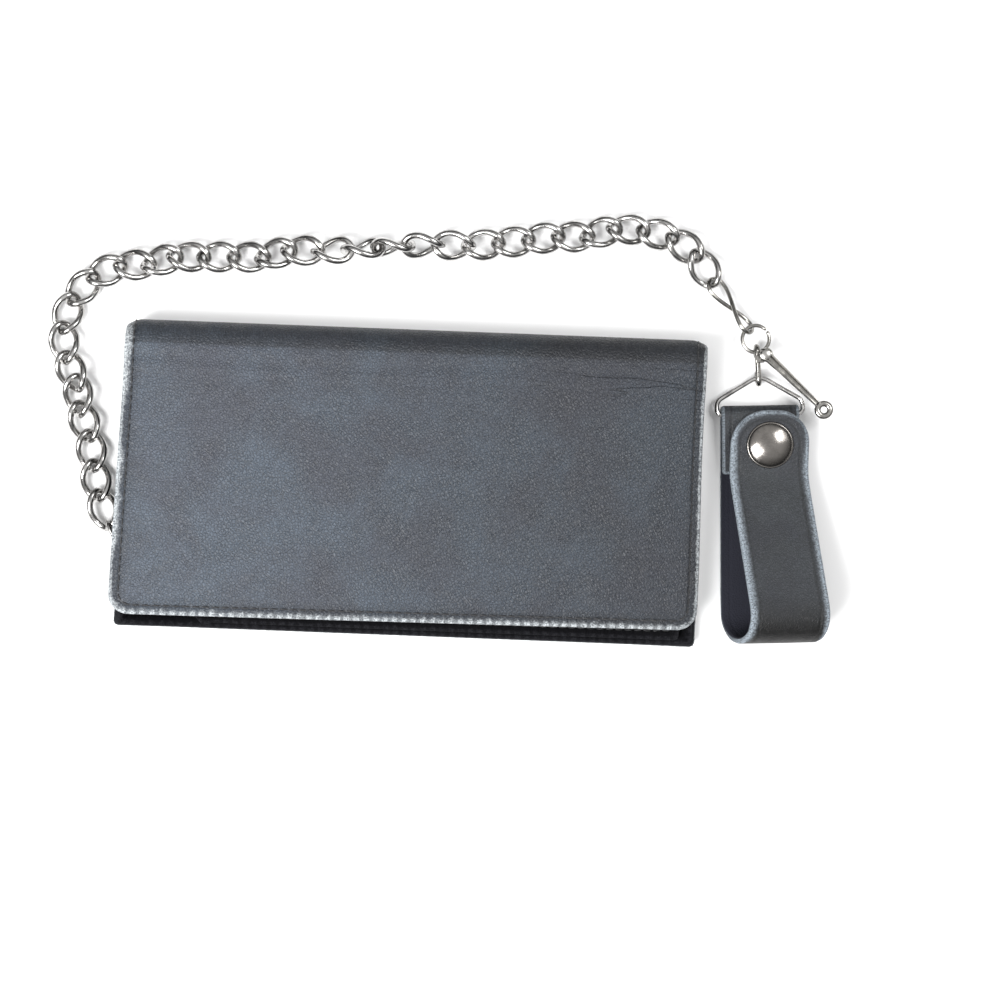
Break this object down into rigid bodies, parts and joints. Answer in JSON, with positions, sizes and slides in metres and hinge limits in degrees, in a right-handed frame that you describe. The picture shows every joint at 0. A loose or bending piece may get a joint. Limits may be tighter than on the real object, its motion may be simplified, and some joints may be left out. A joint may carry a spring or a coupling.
{
  "type": "chain wallet",
  "caption": "Long leather wallet with a folding snap flap, a curb chain joined at one corner, and a trigger hook with a D-ring and a snap belt loop at the chain's end.",
  "frame": {"origin": "centre of the closed wallet's back face, where it rests on the table", "axes": "+X to the right along the wallet's long side, +Y up across the wallet towards its folded spine, +Z out of the front flap"},
  "size_m": [0.2436, 0.133, 0.018],
  "materials": {
    "cover_leather": "pebble grain, worn pale edges",
    "lining_leather": "smooth black",
    "belt_leather": "pebble grain, worn pale edges",
    "zip_tape": "woven",
    "chain_metal": "polished",
    "fitting_metal": "polished",
    "snap_metal": "dark nickel, polished",
    "zip_metal": "satin"
  },
  "bodies": {
    "wallet": {"cover_back": "cover_leather", "back_lining": "lining_leather", "bill_divider": "lining_leather", "pocket_panel": "lining_leather", "coin_pocket_front": "lining_leather", "zipper_tape": "zip_tape", "zipper_teeth": "zip_metal", "snap_studs": "snap_metal", "eyelet": "snap_metal", "eyelet_washer": "snap_metal"},
    "flap": {"cover_flap": "cover_leather", "flap_lining": "lining_leather", "card_pockets": "lining_leather", "snap_sockets": "snap_metal"},
    "zip_slider": {"zipper_slider": "zip_metal"},
    "zip_pull": {"zipper_pull": "zip_metal"},
    "wallet_link": {"wallet_link": "fitting_metal"},
    "chain_link_01": {"chain_link_01": "chain_metal"},
    "chain_link_02": {"chain_link_02": "chain_metal"},
    "chain_link_03": {"chain_link_03": "chain_metal"},
    "chain_link_04": {"chain_link_04": "chain_metal"},
    "chain_link_05": {"chain_link_05": "chain_metal"},
    "chain_link_06": {"chain_link_06": "chain_metal"},
    "chain_link_07": {"chain_link_07": "chain_metal"},
    "chain_link_08": {"chain_link_08": "chain_metal"},
    "chain_link_09": {"chain_link_09": "chain_metal"},
    "chain_link_10": {"chain_link_10": "chain_metal"},
    "chain_link_11": {"chain_link_11": "chain_metal"},
    "chain_link_12": {"chain_link_12": "chain_metal"},
    "chain_link_13": {"chain_link_13": "chain_metal"},
    "chain_link_14": {"chain_link_14": "chain_metal"},
    "chain_link_15": {"chain_link_15": "chain_metal"},
    "chain_link_16": {"chain_link_16": "chain_metal"},
    "chain_link_17": {"chain_link_17": "chain_metal"},
    "chain_link_18": {"chain_link_18": "chain_metal"},
    "chain_link_19": {"chain_link_19": "chain_metal"},
    "chain_link_20": {"chain_link_20": "chain_metal"},
    "chain_link_21": {"chain_link_21": "chain_metal"},
    "chain_link_22": {"chain_link_22": "chain_metal"},
    "chain_link_23": {"chain_link_23": "chain_metal"},
    "chain_link_24": {"chain_link_24": "chain_metal"},
    "chain_link_25": {"chain_link_25": "chain_metal"},
    "chain_link_26": {"chain_link_26": "chain_metal"},
    "chain_link_27": {"chain_link_27": "chain_metal"},
    "chain_link_28": {"chain_link_28": "chain_metal"},
    "chain_link_29": {"chain_link_29": "chain_metal"},
    "chain_link_30": {"chain_link_30": "chain_metal"},
    "chain_link_31": {"chain_link_31": "chain_metal"},
    "clip_link": {"clip_link": "fitting_metal"},
    "joining_ring": {"joining_ring": "fitting_metal"},
    "hook": {"hook_body": "fitting_metal", "hook_rivet": "fitting_metal", "hook_spring": "fitting_metal"},
    "trigger_lever": {"hook_lever": "fitting_metal"},
    "d_ring": {"d_ring": "fitting_metal"},
    "belt_strap": {"loop_strap": "belt_leather", "loop_snap_stud": "snap_metal"},
    "belt_tongue": {"loop_tongue": "belt_leather", "loop_snap_cap": "snap_metal", "loop_snap_socket": "snap_metal"}
  },
  "joints": [
    {"name": "flap_bend", "type": "hinge", "parent": "wallet", "child": "flap", "pos_m": [0, 0.04725, 0.0075], "axis": [-1, 0, 0], "range_deg": [0, 150]},
    {"name": "zip_slide", "type": "slide", "parent": "wallet", "child": "zip_slider", "axis": [1, 0, 0], "range_m": [-0.121, 0]},
    {"name": "zip_pull_swing", "type": "hinge", "parent": "zip_slider", "child": "zip_pull", "pos_m": [0.06, 0.026, 0.0103], "axis": [0, 1, 0], "range_deg": [-5, 4]},
    {"name": "wallet_link_swing", "type": "hinge", "parent": "wallet", "child": "wallet_link", "pos_m": [-0.0849, -0.0312, 0.00375], "axis": [-0.8829, -0.4695, 0], "range_deg": [-5, 5]},
    {"name": "chain_pitch_01", "type": "hinge", "parent": "wallet_link", "child": "chain_link_01", "pos_m": [-0.093, -0.016, 0.00375], "axis": [-0.9063, -0.4226, 0], "range_deg": [-5, 5]},
    {"name": "chain_pitch_02", "type": "hinge", "parent": "chain_link_01", "child": "chain_link_02", "pos_m": [-0.09648, -0.00738, 0.00269], "axis": [-0.9563, -0.2924, 0], "range_deg": [-15, 15]},
    {"name": "chain_pitch_03", "type": "hinge", "parent": "chain_link_02", "child": "chain_link_03", "pos_m": [-0.09842, 0.00172, 0.00269], "axis": [0.9816, 0.1908, 0], "range_deg": [-15, 15]},
    {"name": "chain_pitch_04", "type": "hinge", "parent": "chain_link_03", "child": "chain_link_04", "pos_m": [-0.10003, 0.01088, 0.00269], "axis": [-0.9613, -0.2756, 0], "range_deg": [-15, 15]},
    {"name": "chain_pitch_05", "type": "hinge", "parent": "chain_link_04", "child": "chain_link_05", "pos_m": [-0.10333, 0.01904, 0.00313], "axis": [0.9659, 0.2588, 0], "range_deg": [-15, 15]},
    {"name": "chain_pitch_06", "type": "hinge", "parent": "chain_link_05", "child": "chain_link_06", "pos_m": [-0.10445, 0.02701, 0.00356], "axis": [-0.9563, -0.2924, 0], "range_deg": [-15, 15]},
    {"name": "chain_pitch_07", "type": "hinge", "parent": "chain_link_06", "child": "chain_link_07", "pos_m": [-0.1082, 0.03469, 0.00345], "axis": [0.9563, 0.2924, 0], "range_deg": [-15, 15]},
    {"name": "chain_pitch_08", "type": "hinge", "parent": "chain_link_07", "child": "chain_link_08", "pos_m": [-0.10949, 0.0439, 0.00301], "axis": [-0.9976, 0.0698, 0], "range_deg": [-15, 15]},
    {"name": "chain_pitch_09", "type": "hinge", "parent": "chain_link_08", "child": "chain_link_09", "pos_m": [-0.10693, 0.05284, 0.00269], "axis": [0.8829, -0.4695, 0], "range_deg": [-15, 15]},
    {"name": "chain_pitch_10", "type": "hinge", "parent": "chain_link_09", "child": "chain_link_10", "pos_m": [-0.10095, 0.05997, 0.00269], "axis": [-0.6157, 0.788, 0], "range_deg": [-15, 15]},
    {"name": "chain_pitch_11", "type": "hinge", "parent": "chain_link_10", "child": "chain_link_11", "pos_m": [-0.09259, 0.06404, 0.00269], "axis": [0.2419, -0.9703, 0], "range_deg": [-15, 15]},
    {"name": "chain_pitch_12", "type": "hinge", "parent": "chain_link_11", "child": "chain_link_12", "pos_m": [-0.0837, 0.06435, 0.00313], "axis": [-0.1908, 0.9816, 0], "range_deg": [-15, 15]},
    {"name": "chain_pitch_13", "type": "hinge", "parent": "chain_link_12", "child": "chain_link_13", "pos_m": [-0.07571, 0.06726, 0.00356], "axis": [0.1736, -0.9848, 0], "range_deg": [-15, 15]},
    {"name": "chain_pitch_14", "type": "hinge", "parent": "chain_link_13", "child": "chain_link_14", "pos_m": [-0.06681, 0.06726, 0.00313], "axis": [-0.0349, 0.9994, 0], "range_deg": [-15, 15]},
    {"name": "chain_pitch_15", "type": "hinge", "parent": "chain_link_14", "child": "chain_link_15", "pos_m": [-0.05753, 0.06791, 0.00269], "axis": [0.0349, -0.9994, 0], "range_deg": [-15, 15]},
    {"name": "chain_pitch_16", "type": "hinge", "parent": "chain_link_15", "child": "chain_link_16", "pos_m": [-0.04863, 0.06791, 0.00313], "axis": [-0.1564, 0.9877, 0], "range_deg": [-15, 15]},
    {"name": "chain_pitch_17", "type": "hinge", "parent": "chain_link_16", "child": "chain_link_17", "pos_m": [-0.04055, 0.07054, 0.00356], "axis": [0.1564, -0.9877, 0], "range_deg": [-15, 15]},
    {"name": "chain_pitch_18", "type": "hinge", "parent": "chain_link_17", "child": "chain_link_18", "pos_m": [-0.03165, 0.07054, 0.00406], "axis": [-0.0349, 0.9994, 0], "range_deg": [-15, 15]},
    {"name": "chain_pitch_19", "type": "hinge", "parent": "chain_link_18", "child": "chain_link_19", "pos_m": [-0.02237, 0.07119, 0.00496], "axis": [0.0872, -0.9962, 0], "range_deg": [-15, 15]},
    {"name": "chain_pitch_20", "type": "hinge", "parent": "chain_link_19", "child": "chain_link_20", "pos_m": [-0.01312, 0.07216, 0.00548], "axis": [-0.1045, 0.9945, 0], "range_deg": [-15, 15]},
    {"name": "chain_pitch_21", "type": "hinge", "parent": "chain_link_20", "child": "chain_link_21", "pos_m": [-0.00387, 0.07313, 0.00535], "axis": [0.0872, -0.9962, 0], "range_deg": [-15, 15]},
    {"name": "chain_pitch_22", "type": "hinge", "parent": "chain_link_21", "child": "chain_link_22", "pos_m": [0.0054, 0.07378, 0.00462], "axis": [-0.0349, 0.9994, 0], "range_deg": [-15, 15]},
    {"name": "chain_pitch_23", "type": "hinge", "parent": "chain_link_22", "child": "chain_link_23", "pos_m": [0.0147, 0.07378, 0.0034], "axis": [0.0698, -0.9976, 0], "range_deg": [-15, 15]},
    {"name": "chain_pitch_24", "type": "hinge", "parent": "chain_link_23", "child": "chain_link_24", "pos_m": [0.02391, 0.07507, 0.00269], "axis": [-0.1392, 0.9903, 0], "range_deg": [-15, 15]},
    {"name": "chain_pitch_25", "type": "hinge", "parent": "chain_link_24", "child": "chain_link_25", "pos_m": [0.03312, 0.07637, 0.00269], "axis": [0.1564, -0.9877, 0], "range_deg": [-15, 15]},
    {"name": "chain_pitch_26", "type": "hinge", "parent": "chain_link_25", "child": "chain_link_26", "pos_m": [0.04228, 0.07798, 0.00269], "axis": [-0.0872, 0.9962, 0], "range_deg": [-15, 15]},
    {"name": "chain_pitch_27", "type": "hinge", "parent": "chain_link_26", "child": "chain_link_27", "pos_m": [0.05128, 0.07798, 0.00313], "axis": [0.1736, -0.9848, 0], "range_deg": [-15, 15]},
    {"name": "chain_pitch_28", "type": "hinge", "parent": "chain_link_27", "child": "chain_link_28", "pos_m": [0.05946, 0.08096, 0.00356], "axis": [-0.1564, 0.9877, 0], "range_deg": [-15, 15]},
    {"name": "chain_pitch_29", "type": "hinge", "parent": "chain_link_28", "child": "chain_link_29", "pos_m": [0.06845, 0.08064, 0.00313], "axis": [-0.1045, -0.9945, 0], "range_deg": [-15, 15]},
    {"name": "chain_pitch_30", "type": "hinge", "parent": "chain_link_29", "child": "chain_link_30", "pos_m": [0.07761, 0.07903, 0.00269], "axis": [0.3746, 0.9272, 0], "range_deg": [-15, 15]},
    {"name": "chain_pitch_31", "type": "hinge", "parent": "chain_link_30", "child": "chain_link_31", "pos_m": [0.08532, 0.07383, 0.00269], "axis": [-0.7193, -0.6947, 0], "range_deg": [-15, 15]},
    {"name": "clip_link_swing", "type": "hinge", "parent": "chain_link_31", "child": "clip_link", "pos_m": [0.09025, 0.06594, 0.00269], "axis": [-0.8116, -0.5842, 0], "range_deg": [-20, 20]},
    {"name": "ring_swing", "type": "hinge", "parent": "clip_link", "child": "joining_ring", "pos_m": [0.10185, 0.05187, 0.0036], "axis": [0.788, 0.6157, 0], "range_deg": [-20, 20]},
    {"name": "hook_swing", "type": "hinge", "parent": "joining_ring", "child": "hook", "pos_m": [0.10483, 0.04447, 0.0036], "axis": [-0.9945, -0.1045, 0], "range_deg": [-20, 20]},
    {"name": "trigger_lever_pivot", "type": "hinge", "parent": "hook", "child": "trigger_lever", "pos_m": [0.1073, 0.0437, 0.00805], "axis": [0, 0, 1], "range_deg": [0, 30], "stiffness_Nm_per_rad": 0.0008},
    {"name": "d_ring_swing", "type": "hinge", "parent": "hook", "child": "d_ring", "pos_m": [0.10566, 0.03662, 0.00285], "axis": [0.9945, 0.1045, 0], "range_deg": [-25, 25]},
    {"name": "belt_strap_swing", "type": "hinge", "parent": "d_ring", "child": "belt_strap", "pos_m": [0.1066, 0.0255, 0.00285], "axis": [-0.9984, -0.0558, 0], "range_deg": [-60, 60]},
    {"name": "belt_tongue_bend", "type": "hinge", "parent": "belt_strap", "child": "belt_tongue", "pos_m": [0.11361, -0.04472, 0.009], "axis": [0.9984, 0.0558, 0], "range_deg": [0, 150]}
  ]
}
